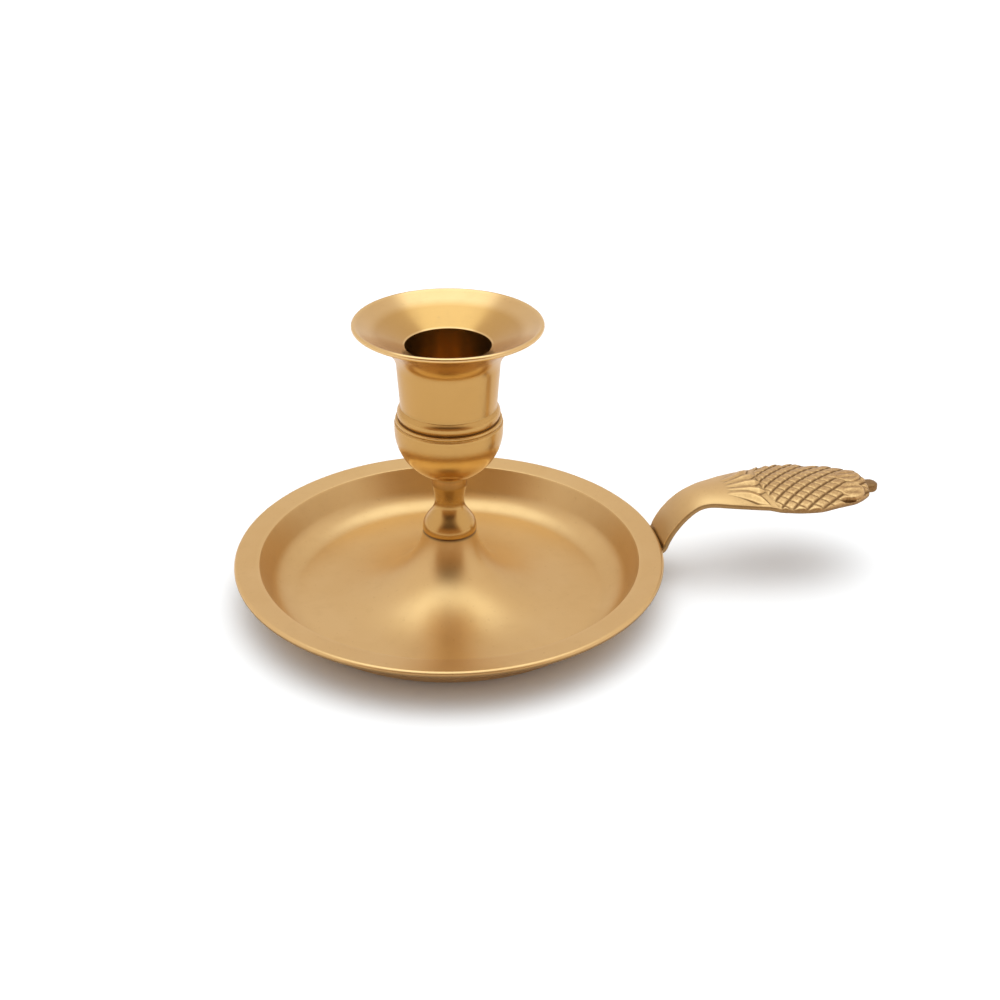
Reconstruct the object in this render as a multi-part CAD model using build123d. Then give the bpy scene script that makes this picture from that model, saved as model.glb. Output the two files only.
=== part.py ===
from build123d import *
import os
from math import acos, cos, degrees, radians, sin, tan

# A brass chamberstick: a round drip pan whose floor rises into a hollow trumpet, a turned candle cup
# screwed down on the trumpet, and a cast thumb handle brazed under the pan's rim.
# Millimetres and degrees. +Z is up, the pan's axis is Z and the table is at height 0. The handle runs
# along +X. Outlines of turned pieces are drawn as (radius, height).

# Drip pan
pan_radius = 59.0
rim_height = 12.6
rim_edge = 1.8
rim_band = 6.8
rim_fall = 0.6
pan_wall = 1.1
well_slope = 66.0
well_corner = 8.0
trumpet_foot_radius = 34.0
seat_height = 19.7
seat_radius = 7.3
seat_web = 2.6
trumpet_waist_share = 0.04
trumpet_drop_share = 0.46
trumpet_spread_share = 0.33

# Candle cup, its heights counted up from its foot
cup_height = 60.4
lip_radius = 24.75
lip_edge = 1.35
mouth_drop = 6.35
throat_drop = 12.2
bore_radius = 11.2
bore_depth = 22.0
body_top_radius = 13.5
body_foot_radius = 12.75
bead_radius = 13.75
bead_top = 38.8
bead_width = 3.7
band_groove = 0.5
ring_radius = 14.2
ring_width = 1.6
bowl_radius = 14.41
bowl_middle = 30.5
engraved_line = 0.25
collar_radius = 4.8
collar_foot = 13.9
neck_radius = 3.97
neck_height = 8.9
foot_radius = 7.4
foot_rim = 0.8
foot_round = 0.3
lip_run_share = 0.6
bead_round_share = 0.2
throat_pull_share = 0.4
bell_pull_share = 0.42

# Screw and washer that hold the cup down
screw_radius = 2.5
screw_head_radius = 4.25
screw_head_height = 3.3
screw_slot_width = 1.2
screw_slot_depth = 1.5
screw_engagement = 8.0
tapped_depth = 9.0
washer_radius = 5.0
washer_thickness = 1.0
hole_clearance = 0.25
thread_clearance = 0.05
washer_room = 0.7

# Thumb handle
handle_reach = 122.9
leaf_end = 119.0
leaf_half_width = 13.1
leaf_crown = 1.9
leaf_edge = 1.2
strap_half_width = 6.1
strap_edge = 1.6
strap_crown = 0.8
root_half_width = 7.0
root_crown = 0.1
root_lap = 4.6
root_shift = 1.2
rim_gap = 0.2
hook_radius = 2.4
hook_turn = 76.0
rise_pull = 3.9
arm_pull = 7.8
arm_start = 73.0
arm_height = 24.26
arm_bulge = 0.88
leaf_end_height = 24.34
leaf_hollow = 1.04
braze_leg = 1.4

# Along the rise: share of its length, then shares of the way from the root's sideways place, half-width
# and crown to the strap's
rise_shares = (
    (0.20, 0.40, 0.10, 0.34), (0.40, 0.80, 0.28, 0.69), (0.60, 1.00, 0.60, 0.93), (0.80, 1.00, 1.00, 1.00),
)

# Along the arm and leaf: share of its length, of the leaf's half-width and of the leaf's crown
leaf_shares = (
    (0.00, 0.53, 0.53), (0.11, 0.68, 0.65), (0.24, 0.81, 0.80), (0.37, 0.91, 0.95), (0.50, 1.00, 1.00),
    (0.63, 1.00, 1.00), (0.76, 0.85, 0.92), (0.87, 0.77, 0.78), (0.95, 0.47, 0.55), (1.00, 0.27, 0.35),
)

# Scales on the leaf, in rows across it
scale_first = 87.6
scale_length = 3.6
scale_length_end = 6.3
scale_width = 3.7
scale_lift = 0.65
scale_thickness = 1.1
row_step_share = 0.5
row_lap_share = 0.35
edge_overhang = 0.5
edge_taper = 0.7
edge_room = 0.35
edge_sag_share = 0.25

# Sepals at the leaf's start: the middle one's place, and each one's sideways start, sideways tip and
# step outwards
sepal_start = 77.3
sepal_length = 11.0
sepal_half_width = 2.1
sepal_height = 1.1
sepal_sink = 0.5
sepal_tip_lift = 0.3
sepal_widest_share = 0.66
sepal_fan = ((0.0, 0.0, 0.0), (1.5, 4.9, 0.0), (-1.5, -4.9, 0.0), (3.7, 10.4, 0.8), (-3.7, -10.4, 0.8))

# Stub past the leaf's tip
stub_half_width = 2.3
stub_thickness = 2.0
stub_root = 112.0
stub_ramp = 4.0
stub_top = 24.1

overrun = 1.0


def turned(*edges):
    """A piece turned about Z from the edges of its closed outline."""
    outline = Curve() + list(edges)
    return revolve(Plane.XZ * make_face(outline), Axis.Z)


def lines(*points):
    """Straight edges from each point to the next."""
    return [Line(a, b) for a, b in zip(points, points[1:])]


def trumpet_curve(top_radius, top_height, foot_height):
    """The concave curve from the trumpet's top down to the floor, level where it meets the floor."""
    spread = trumpet_foot_radius - top_radius
    drop = top_height - foot_height
    return Bezier(
        (top_radius, top_height),
        (top_radius + trumpet_waist_share * spread, top_height - trumpet_drop_share * drop),
        (top_radius + trumpet_spread_share * spread, foot_height),
        (trumpet_foot_radius, foot_height),
    )


def drip_pan():
    """The pan: rim band, well, floor that stands on the table, and hollow trumpet with its seat."""
    slope = radians(well_slope)
    crease = (pan_radius - rim_band, rim_height - rim_fall)
    corner_x = crease[0] - (crease[1] - pan_wall) / tan(slope) - well_corner * tan(slope / 2)
    corner = (corner_x, pan_wall + well_corner)
    inner_end = (corner_x + well_corner * sin(slope), corner[1] - well_corner * cos(slope))
    outer_corner = well_corner + pan_wall
    outer_end = (corner_x + outer_corner * sin(slope), corner[1] - outer_corner * cos(slope))
    rim_under = rim_height - rim_edge
    wall_top = (outer_end[0] + (rim_under - outer_end[1]) / tan(slope), rim_under)
    edge_x = pan_radius - rim_edge / 2
    hole = screw_radius + hole_clearance
    hollow = washer_radius + washer_room
    web_under = seat_height - seat_web
    return turned(
        *lines((hole, web_under), (hole, seat_height), (seat_radius, seat_height)),
        trumpet_curve(seat_radius, seat_height, pan_wall),
        Line((trumpet_foot_radius, pan_wall), (corner_x, pan_wall)),
        CenterArc(corner, well_corner, -90, well_slope),
        *lines(inner_end, crease, (edge_x, rim_height)),
        ThreePointArc((edge_x, rim_height), (pan_radius, rim_height - rim_edge / 2), (edge_x, rim_under)),
        *lines((edge_x, rim_under), wall_top, outer_end),
        CenterArc(corner, outer_corner, well_slope - 90, -well_slope),
        Line((corner_x, 0), (trumpet_foot_radius, 0)),
        trumpet_curve(hollow, web_under, 0),
        Line((hollow, web_under), (hole, web_under)),
    )


def candle_cup():
    """The cup: drip lip, bore, bands, bowl, neck and bell foot, with a tapped hole up the foot."""
    foot = seat_height
    top = foot + cup_height
    mouth = (bore_radius, top - mouth_drop)
    lip_x = lip_radius - lip_edge / 2
    lip_under = (lip_x, top - lip_edge)
    throat = (body_top_radius, top - throat_drop)
    lip_slope = mouth_drop / (lip_x - bore_radius)
    lip_run = lip_run_share * (lip_x - body_top_radius)
    fall = throat[1] - lip_under[1]
    bead_low = foot + bead_top - bead_width
    bead_middle = (bead_radius, bead_low + bead_width / 2)
    bead_start = (body_foot_radius, foot + bead_top + bead_width / 2)
    groove = (bead_radius - band_groove, bead_low)
    ring_low = bead_low - ring_width
    line_floor = (ring_radius - engraved_line, ring_low)
    bowl_top = (bowl_radius, ring_low - engraved_line)
    middle = foot + bowl_middle
    crease_angle = acos(collar_radius / bowl_radius)
    crease = (collar_radius, middle - bowl_radius * sin(crease_angle))
    collar = (collar_radius, foot + collar_foot)
    neck = (neck_radius, foot + neck_height)
    hollow_in = (collar_radius - neck_radius) / 2
    hollow_drop = (collar_foot - neck_height) / 3
    bell = (foot_radius, foot + foot_rim)
    bell_drop = bell_pull_share * (neck_height - foot_rim)
    tapped = screw_radius + thread_clearance
    return turned(
        *lines((0, foot + tapped_depth), (tapped, foot + tapped_depth), (tapped, foot),
               (foot_radius - foot_round, foot), (foot_radius, foot + foot_round), bell),
        Bezier(bell, (foot_radius, bell[1] + bell_drop), (neck_radius, neck[1] - bell_drop), neck),
        Bezier(neck, (neck_radius, neck[1] + hollow_drop),
               (collar_radius - hollow_in, collar[1] - hollow_drop), collar),
        Line(collar, crease),
        CenterArc((0, middle), bowl_radius, -degrees(crease_angle), degrees(crease_angle)),
        Line((bowl_radius, middle), bowl_top),
        Line(bowl_top, line_floor),
        ThreePointArc(line_floor, (ring_radius, ring_low + ring_width / 2), groove),
        Bezier(groove, (bead_radius, bead_low + bead_round_share * bead_width),
               (bead_radius, bead_low + bead_round_share * bead_width), bead_middle),
        Bezier(bead_middle, (bead_radius, foot + bead_top), (body_foot_radius, foot + bead_top), bead_start),
        Line(bead_start, throat),
        Bezier(throat, (body_top_radius, throat[1] - throat_pull_share * fall),
               (lip_x - lip_run, lip_under[1] - lip_run * lip_slope), lip_under),
        ThreePointArc(lip_under, (lip_radius, top - lip_edge / 2), (lip_x, top)),
        *lines((lip_x, top), mouth, (bore_radius, mouth[1] - bore_depth), (0, mouth[1] - bore_depth)),
        Line((0, mouth[1] - bore_depth), (0, foot + tapped_depth)),
    )


def cup_screw():
    """A slotted cheese-head screw that points up through the seat into the cup's foot."""
    head_top = seat_height - seat_web - washer_thickness
    tip = seat_height + screw_engagement
    head = Cylinder(screw_head_radius, screw_head_height, align=(Align.CENTER, Align.CENTER, Align.MAX))
    slot = Box(2 * (screw_head_radius + overrun), screw_slot_width, screw_slot_depth,
               align=(Align.CENTER, Align.CENTER, Align.MIN))
    shank = Cylinder(screw_radius, tip - head_top, align=(Align.CENTER, Align.CENTER, Align.MIN))
    slotted = head - Pos(0, 0, -screw_head_height) * slot
    return Pos(0, 0, head_top) * (slotted + shank)


def screw_washer():
    """The plain washer between the screw's head and the trumpet's seat."""
    top = seat_height - seat_web
    disc = Cylinder(washer_radius, washer_thickness, align=(Align.CENTER, Align.CENTER, Align.MAX))
    hole = Cylinder(screw_radius + hole_clearance, 2 * washer_thickness + overrun)
    return Pos(0, 0, top) * (disc - hole)


def leaf_path():
    """The middle line of the arm and leaf, drawn as (reach, height), its reach even along the curve."""
    third = (leaf_end - arm_start) / 3
    return Bezier(
        (arm_start, arm_height),
        (arm_start + third, arm_height + arm_bulge),
        (leaf_end - third, leaf_end_height - leaf_hollow),
        (leaf_end, leaf_end_height),
    )


def leaf_size(share):
    """The leaf's half-width, edge thickness and crown at a share of its length."""
    for low, high in zip(leaf_shares, leaf_shares[1:]):
        if share <= high[0]:
            break
    part = (share - low[0]) / (high[0] - low[0])
    width_share, crown_share = (a + part * (b - a) for a, b in zip(low[1:], high[1:]))
    edge = strap_edge + share * (leaf_edge - strap_edge)
    return width_share * leaf_half_width, edge, crown_share * leaf_crown


def leaf_top(x, y):
    """The height of the leaf's crowned top at a place on it."""
    share = (x - arm_start) / (leaf_end - arm_start)
    half_width, edge, crown = leaf_size(share)
    return (leaf_path() @ share).Y + edge / 2 + crown * (1 - (y / half_width) ** 2)


def strap_slice(path, share, half_width, edge, crown, shift=0):
    """A slice across the strap: flat below, short upright sides and a crowned top."""
    at = path @ share
    along = path % share
    side = edge / 2
    outline = Curve() + [
        *lines((half_width, side), (half_width, -side), (-half_width, -side), (-half_width, side)),
        ThreePointArc((-half_width, side), (0, side + crown), (half_width, side)),
    ]
    return Plane((at.X, shift, at.Y), x_dir=(0, 1, 0), z_dir=(along.X, 0, along.Y)) * make_face(outline)


def hook_place():
    """Where the tongue's middle line turns into the hook, as reach and height."""
    off = rim_gap + root_crown + strap_edge / 2
    return pan_radius + off - hook_radius * sin(radians(hook_turn)), rim_height - rim_edge - off


def tongue():
    """The flat end of the strap that lies under the rim."""
    hook_x, low = hook_place()
    bar = Box(hook_x - pan_radius + root_lap, 2 * root_half_width, strap_edge,
              align=(Align.MAX, Align.CENTER, Align.CENTER))
    return Pos(hook_x, root_shift, low) * bar


def strap():
    """The strap from the tongue out: hook round the rim's edge, rise, arm and leaf, in one loft."""
    hook_x, low = hook_place()
    hook = CenterArc((hook_x, low + hook_radius), hook_radius, -90, hook_turn)
    leaf = leaf_path()
    arm_way = leaf % 0
    hook_way = hook % 1
    rise = Bezier(
        hook @ 1,
        (hook @ 1) + rise_pull * hook_way,
        (leaf @ 0) - arm_pull * arm_way,
        leaf @ 0,
    )
    slices = [strap_slice(hook, share, root_half_width, strap_edge, root_crown, root_shift)
              for share in (0, 0.5, 1)]
    for share, shift_share, width_share, crown_share in rise_shares:
        width = root_half_width + width_share * (strap_half_width - root_half_width)
        crown = root_crown + crown_share * (strap_crown - root_crown)
        slices.append(strap_slice(rise, share, width, strap_edge, crown, root_shift * (1 - shift_share)))
    slices += [strap_slice(leaf, share, *leaf_size(share)) for share, _, _ in leaf_shares]
    return loft(slices)


def scale_row(number, reach, length):
    """One row of pointed scales: a crowned slab that rises to the points, cut to a toothed outline."""
    half = scale_width / 2
    depth = length / 2
    rear = reach - depth - row_lap_share * length
    half_width, _, crown = leaf_size((reach - arm_start) / (leaf_end - arm_start))
    edge = half_width + edge_overhang * (number % 2)
    wide = edge + edge_room
    sag = (1 + edge_sag_share) * crown * (wide / half_width) ** 2
    peak = leaf_top(rear, 0)
    low = peak - crown - scale_thickness
    profile = Curve() + [
        *lines((wide, peak - sag), (wide, low), (-wide, low), (-wide, peak - sag)),
        ThreePointArc((-wide, peak - sag), (0, peak), (wide, peak - sag)),
    ]
    way = Vector(reach - rear, 0, leaf_top(reach, 0) + scale_lift - peak)
    run_share = (reach + overrun - rear) / (reach - rear)
    slab = extrude(Plane((rear, 0, 0), x_dir=(0, 1, 0), z_dir=(1, 0, 0)) * make_face(profile),
                   run_share * way.length, dir=way)

    def front(y):
        return reach - depth * abs((y / half + number + 1) % 2 - 1)

    count = int((edge - edge_room) / half)
    places = [-edge, *(k * half for k in range(-count, count + 1)), edge]
    teeth = [(front(y), y) for y in places]
    toothed = Polyline((rear, edge - edge_taper), (rear, edge_taper - edge), *teeth, close=True)
    height = crown + scale_thickness + scale_lift + 2 * overrun
    return slab & extrude(Plane.XY.offset(low - overrun) * make_face(toothed), height)


def scale_rows():
    """Rows of scales from the sepals to the tip, longer towards the tip."""
    rows = []
    reach = scale_first
    while reach < leaf_end:
        share = (reach - scale_first) / (leaf_end - scale_first)
        length = scale_length + share * (scale_length_end - scale_length)
        rows.append(scale_row(len(rows), reach, length))
        reach += row_step_share * length
    return rows


def sepal(start_y, tip_y, step):
    """One keeled blade, pointed at both ends and partly sunk in the leaf."""
    start = sepal_start + step
    tip = start + sepal_length
    widest = start + sepal_widest_share * sepal_length
    middle_y = start_y + sepal_widest_share * (tip_y - start_y)
    top = leaf_top(widest, middle_y)
    blade = Polyline((middle_y - sepal_half_width, top), (middle_y, top + sepal_height),
                     (middle_y + sepal_half_width, top), (middle_y, top - sepal_sink), close=True)
    section = Plane((widest, 0, 0), x_dir=(0, 1, 0), z_dir=(1, 0, 0)) * make_face(blade)
    ends = (Vertex(start, start_y, leaf_top(start, start_y) - sepal_sink),
            Vertex(tip, tip_y, leaf_top(tip, tip_y) + sepal_tip_lift))
    return loft([ends[0], section, ends[1]], ruled=True)


def stub():
    """The round-ended bar under the leaf's tip, which ramps up into the leaf and stands out past it."""
    round_x = handle_reach - stub_half_width
    plan = Curve() + [
        *lines((round_x, -stub_half_width), (stub_root, -stub_half_width), (stub_root, stub_half_width),
               (round_x, stub_half_width)),
        ThreePointArc((round_x, stub_half_width), (handle_reach, 0), (round_x, -stub_half_width)),
    ]
    low = stub_top - stub_thickness
    side = Polyline((stub_root, stub_top), (stub_root + stub_ramp, low), (handle_reach, low),
                    (handle_reach, stub_top), close=True)
    bar = extrude(Plane.XY.offset(low) * make_face(plan), stub_thickness)
    return bar & extrude(Plane.XZ * make_face(side), stub_half_width, both=True)


def thumb_handle():
    """The cast handle: strap with its scaled leaf, five sepals and the stub."""
    sepals = [sepal(*row) for row in sepal_fan]
    return strap() + tongue() + stub() + sepals + scale_rows()


def handle_braze(pan):
    """The brazing alloy: a film between tongue and rim, with fillets along the tongue's sides and end."""
    outer = hook_place()[0] - rim_gap
    long = outer - (pan_radius - root_lap)
    lower = Rectangle(long - rim_gap, 2 * (root_half_width - rim_gap), align=(Align.MAX, Align.CENTER))
    upper = Rectangle(long + braze_leg, 2 * (root_half_width + braze_leg), align=(Align.MAX, Align.CENTER))
    place = Pos(outer, root_shift, rim_height - rim_edge)
    pad = loft([place * Pos(0, 0, -braze_leg) * lower, place * upper], ruled=True)
    return pad - tongue() - pan


pan = drip_pan()
os.makedirs("parts", exist_ok=True)
export_step(pan, "parts/drip_pan.step")
export_step(candle_cup(), "parts/candle_cup.step")
export_step(cup_screw(), "parts/cup_screw.step")
export_step(screw_washer(), "parts/screw_washer.step")
export_step(thumb_handle(), "parts/thumb_handle.step")
export_step(handle_braze(pan), "parts/handle_braze.step")
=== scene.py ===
"""A brass chamberstick dressed for a picture: drip pan, turned candle cup and scaled thumb handle.

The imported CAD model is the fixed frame. Sizes in the code are millimetres unless a line says otherwise;
properties are in Blender's own metres. +Z is up, the pan's axis is Z and the handle runs along +X.
"""

from functools import reduce
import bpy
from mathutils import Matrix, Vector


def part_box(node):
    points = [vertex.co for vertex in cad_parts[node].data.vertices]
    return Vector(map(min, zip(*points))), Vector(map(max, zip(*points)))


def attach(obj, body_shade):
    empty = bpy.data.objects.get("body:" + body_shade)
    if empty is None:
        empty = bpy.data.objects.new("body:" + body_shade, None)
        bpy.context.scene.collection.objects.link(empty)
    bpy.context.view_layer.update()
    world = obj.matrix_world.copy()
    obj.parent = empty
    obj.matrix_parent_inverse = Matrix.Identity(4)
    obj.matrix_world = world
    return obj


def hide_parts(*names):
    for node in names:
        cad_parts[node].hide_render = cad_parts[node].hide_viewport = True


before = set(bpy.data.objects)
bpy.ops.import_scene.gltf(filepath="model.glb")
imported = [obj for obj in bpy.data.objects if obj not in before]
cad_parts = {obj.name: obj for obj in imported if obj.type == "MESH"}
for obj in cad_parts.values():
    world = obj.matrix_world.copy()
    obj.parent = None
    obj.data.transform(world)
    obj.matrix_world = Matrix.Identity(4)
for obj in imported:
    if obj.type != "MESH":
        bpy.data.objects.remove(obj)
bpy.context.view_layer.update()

from types import SimpleNamespace

import bpy
import numpy as np
from bpy.props import FloatProperty, FloatVectorProperty, IntProperty, PointerProperty
from mathutils import Matrix, Vector

bl_info = {
    "name": "Chamberstick",
    "version": (1, 0, 0),
    "blender": (4, 5, 0),
    "location": "3D View > Sidebar > Chamberstick",
    "description": "Builds a brass chamberstick around its packed frame, with its finishes and studio",
    "category": "Object",
}

MM = 0.001

# Outlines of the turned pieces: how far corners and bends are eased, and how close the rows are set
EDGE_SOFTNESS = 0.11
BEND_SOFTNESS = 0.35
OUTLINE_STEP = 0.02
SAME_POINT = 1e-6
TURN_STEP = np.radians(8)
PAN_STEP = 1.2
CUP_STEP = 0.9

# Drip pan
RIM_EDGE = 1.8
RIM_FALL = 0.6
PAN_WALL = 1.1
WELL_SLOPE = 66
WELL_CORNER = 8
TRUMPET_FOOT = 34
SEAT_RADIUS = 7.3
SEAT_WEB = 2.6
SEAT_HOLE = 2.75
TRUMPET_HOLLOW = 5.7
TRUMPET_SHARES = (0.04, 0.46, 0.33)

# Candle cup, its heights counted up from its foot
LIP_EDGE = 1.35
LIP_PULL = 0.6
MOUTH_DROP = 6.35
THROAT_DROP = 12.2
THROAT_PULL = 0.4
BODY_TOP = 13.5
BODY_FOOT = 12.75
BEAD_TOP = 37.2
BEAD_WIDTH = 3.3
BEAD_BULGE = 0.65
GROOVE_RADIUS = 13.2
RING_RADIUS = 14.2
RING_WIDTH = 1.1
BOWL_RADIUS = 14.41
BOWL_MIDDLE = 30.5
ENGRAVED_LINE = 0.25
COLLAR_RADIUS = 4.8
COLLAR_FOOT = 13.9
NECK_RADIUS = 3.97
NECK_HEIGHT = 8.9
FOOT_RADIUS = 7.4
FOOT_RIM = 0.8
FOOT_ROUND = 0.3
BELL_PULL = 0.42
TAPPED_RADIUS = 2.55
TAPPED_DEPTH = 9

# Marks on the turned pieces: strengths from 0 to 1, and bands as start, rise, end and fall
HOLLOW_PATINA = 0.35
WORN_BEND = 0.5
WORN_FROM = 0.25
BRUSH_TURN = 2
PAN_SEAM = 0.5
# The well's upper wall gets a thin painted shade
WALL_FROM = 1.5
WALL_RISE = 2
WALL_PAINTED_SHADE = 0.1
# The lower part of the rim's edge gets painted shade
RIM_DARK_FROM = 0.3
RIM_DARK_FALL = 0.4
RIM_PAINTED_SHADE = 0.9
CUP_SEAM = 0.35
CUP_INSIDE = 3.6
BOWL_BAND = (14, 2, 29, 5)
NECK_BAND = (6, 3, 16, 2)
LIP_BAND = 0.8
BORE_WEAR = 0.5
HANDLED_WEAR = 0.9
# A thin painted shade on the cup's outside, for a dimmer reflection; the neck is darker
CUP_PAINTED_SHADE = 0.2
NECK_DARKENING = 0.4
CUP_AMBER = 0.75

# Thumb handle: the strap's middle line and sections
ROOT_LAP = 4.6
ROOT_SHIFT = 1.2
ROOT_HALF = 7
ROOT_CROWN = 0.1
RIM_GAP = 0.2
HOOK_RADIUS = 2.4
HOOK_TURN = 76
RISE_PULL = 3.9
ARM_PULL = 7.8
ARM_START = 73
ARM_HEIGHT = 24.26
ARM_BULGE = 0.88
LEAF_END = 119
LEAF_END_HEIGHT = 24.34
LEAF_HOLLOW = 1.04
STRAP_HALF = 6.1
STRAP_EDGE = 1.6
STRAP_CROWN = 0.8
LEAF_EDGE = 1.2
LEAF_CROWN = 1.9
RISE_SHARES = (
    (0.2, 0.4, 0.1, 0.34), (0.4, 0.8, 0.28, 0.69), (0.6, 1, 0.6, 0.93), (0.8, 1, 1, 1),
)
LEAF_SHARES = (
    (0, 0.53, 0.53), (0.11, 0.68, 0.65), (0.24, 0.81, 0.8), (0.37, 0.91, 0.95), (0.5, 1, 1),
    (0.63, 1, 1), (0.76, 0.85, 0.92), (0.87, 0.77, 0.78), (0.94, 0.62, 0.58), (1, 0.42, 0.4),
)
STRAP_ROWS = 150
LINE_SAMPLES = 2000
SECTION_SOFTNESS = 1.2
WAY_SOFTNESS = 0.3
SIDE_ROUND = 0.7
SIDE_SQUARENESS = 0.85
SIDE_POINTS = 14
UNDERSIDE_POINTS = 24
LEAF_SHARPER = 0.4
LEAF_UNDERCUT = 0.5
NOSE_LENGTH = 1.2
NOSE_NARROWING = 0.9
NOSE_THINNING = 0.5
NOSE_RELIEF_LOSS = 0.5

# Relief on the leaf
SCALES_FROM = 87.6
SCALES_FROM_SIDE = 1.6
SCALES_SIDE = 9
SCALES_BLEND = 0.6
LATTICE_LOWEST = -8
SCALE_RISE = 0.45
SCALE_SWELL = 0.75
SCALE_FLATNESS = 0.7
SCALE_SINK = 0.4
# Grooves: patina with a painted shadow of the scales' steps, darker on one diagonal
GROOVE_PATINA_AND_SHADOW = ((0.07, 0.6), (0.1, 1))
LEAF_BLEND = 3
TOOTH_HEIGHT = 0.9
TOOTH_MEAN = 0.35
TOOTH_FALL = 0.2
NEAR_WIDENING = 0.35
NEAR_DROOP = 0.5
RELIEF_SIDE = 0.25
RELIEF_LEFT = 0.35
SEPAL_START = 77.3
SEPAL_LENGTH = 11
SEPAL_WIDEST = 0.66
SEPAL_RIM = 0.35
SEPAL_RISE = (1.7, 1.3)
SEPAL_TIP_FALL = 5
SEPAL_HOLLOW = 1.8
SEPAL_SIDE = 0.25
SEPAL_FAN = ((0, 0, 0, 2.1, 1), (1.5, 4.9, 0, 2.1, 1), (-1.5, -4.9, 0, 2.1, 1),
             (3.9, 11.2, -0.4, 2.7, 2.2), (-3.9, -11.2, -0.4, 2.7, 2.2))
PETALS = ((114.1, 1.2, 3.9, 3.7), (112.9, -6, 3.8, 3.5))
PETAL_POINT = 1.7
PETAL_LIFT = 0.95
PETAL_SLOPE = (0.7, 0.4)
PETAL_FLUTES = 0.2
PETAL_SIDE = 7
NO_PETAL = -1
POCKET = (110.6, -9.9, 2.7, 0.8, 1.1)
POCKET_SIDE = 1.8

# Marks on the handle
# Painted shade on the handle's sides and underside
UNDERSIDE_PAINTED_SHADE = 0.6
SIDE_FADE = (0, 0.3, 0.7, 0.7, 0.3, 0)
SUNK_REACH = 2.5
SUNK_ON_SEPALS = 0.08
SUNK_ON_SCALES = 0.14
WORN_HEIGHT = 0.12
RISE_PATINA = 0.3
RISE_END = 69
RISE_FADE = 7
SEPAL_GRAIN = 0.35
BRUSH_ALONG = 0.12
BRUSH_UP = 0.3

# Stub under the leaf's tip
STUB_HALF = 2.3
STUB_ROOT = 112
STUB_RAMP = 4
STUB_RAMP_LEAST = 0.05
STUB_TOP = 24.6
STUB_THICKNESS = 2.7
STUB_THINNING = 0.45
STUB_SQUARENESS = 0.5
# Painted shade over the whole stub, under the leaf
STUB_PAINTED_SHADE = 0.75

# Noises in the brass, each as scale, detail and roughness, and the steps at which some are cut
CLOUD, CLOUD_STEP = (38, 3, 0.55), (0.32, 0.68)
MOTTLE, MOTTLE_STEP = (260, 2, 0.6), (0.5, 0.75)
SPOTS, SPOT_STEP = (900, 1, 0.5), (0.66, 0.8)
PITS, PIT_STEP = (1500, 2, 0.6), (0.38, 0.62)
COARSE_LINES = (1.3, 2, 0.6)
FINE_LINES = (4.5, 3, 0.7)
PLAIN_LINES = (1 / MM, 0.1 / MM, 0.1 / MM)

# How strongly noises, wear and dark show in the brass: as tarnish, polish, roughness and bump
SPOT_TARNISH = 0.18
MOTTLE_TARNISH = 0.07
CAST_TARNISH = 0.45
PIT_TARNISH = 0.7
WORN_POLISH = 0.55
CLOUD_ROUGHNESS = 0.07
LINE_ROUGHNESS = 0.09
DARK_ROUGHNESS = 0.2
WORN_ROUGHNESS = 0.05
MOTTLE_ROUGHNESS = 0.04
COARSE_BUMP = 1.5
FINE_BUMP = 0.5
MOTTLE_BUMP = 2.2
SPOT_BUMP = 1.2
BUMP_METRES = 1.5e-6

# The studio: steps between its parts, by a direction's height or by how far it points ahead
LIGHT_PANEL = (0.8, 0.87)
BACK_WALL = (0.2, 0.85)
SIDE_WALLS = (-0.76, -0.48)
FRONT_SHADE = (0.3, 0.58)
FRONT_SHADE_DEPTH = 0.85
OVERHEAD_POWER = 3
FLOOR_HALF_METRES = 4
FLOOR_DROP = 0.05

# The photograph's viewpoint, about the pan's axis: degrees, then millimetres to the right, back and up
CAMERA_TURN = 9.7
CAMERA_PITCH = 28.382
CAMERA_ROLL = 0.539
CAMERA_PLACE = (13.708, 354.89, 220.22)


def to_mm(value):
    return value / MM


# Lines

def arc(middle, radius, start, sweep, count=80):
    """Points at even angles, in degrees, on a circle."""
    angle = np.radians(np.linspace(start, start + sweep, count))
    return np.stack([middle[0] + radius * np.cos(angle), middle[1] + radius * np.sin(angle)], axis=1)


def bow(start, end, depth, count=40):
    """A parabola from start to end that bulges by depth to the right of the way from one to the other."""
    start, end = np.array(start, float), np.array(end, float)
    way = end - start
    side = np.array([way[1], -way[0]]) / np.hypot(*way)
    share = np.linspace(0, 1, count)[:, None]
    return start + share * way + 4 * depth * share * (1 - share) * side


def bezier(a, b, c, d, count=120):
    """A cubic curve: the four points weighted by the Bernstein polynomials of its parameter."""
    t = np.linspace(0, 1, count)[:, None]
    a, b, c, d = (np.array(point, float) for point in (a, b, c, d))
    return (1 - t) ** 3 * a + 3 * t * (1 - t) ** 2 * b + 3 * t ** 2 * (1 - t) * c + t ** 3 * d


def run_along(points):
    """The length from the first point to each point, added up."""
    return np.concatenate(([0.0], np.cumsum(np.hypot(*np.diff(points, axis=0).T))))


def read_off(at, runs, values):
    """Each column of values, known at runs, read off at other places along them."""
    return np.stack([np.interp(at, runs, column) for column in values.T], axis=1)


def evened(points, step):
    """The same line with its points a fixed step apart, each coordinate read off at even lengths."""
    run = run_along(points)
    return read_off(np.linspace(0, run[-1], int(np.ceil(run[-1] / step)) + 1), run, points)


def softened(values, width, closed=False):
    """Each column averaged along the line with a bell-shaped weight, width samples wide."""
    reach = int(4 * width) + 1
    weight = np.exp(-0.5 * (np.arange(-reach, reach + 1) / width) ** 2)
    options = {"mode": "wrap"} if closed else {"mode": "reflect", "reflect_type": "odd"}
    padded = np.pad(values, ((reach, reach), (0, 0)), **options)
    return np.stack([np.convolve(column, weight / weight.sum(), "valid") for column in padded.T], axis=1)


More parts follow.
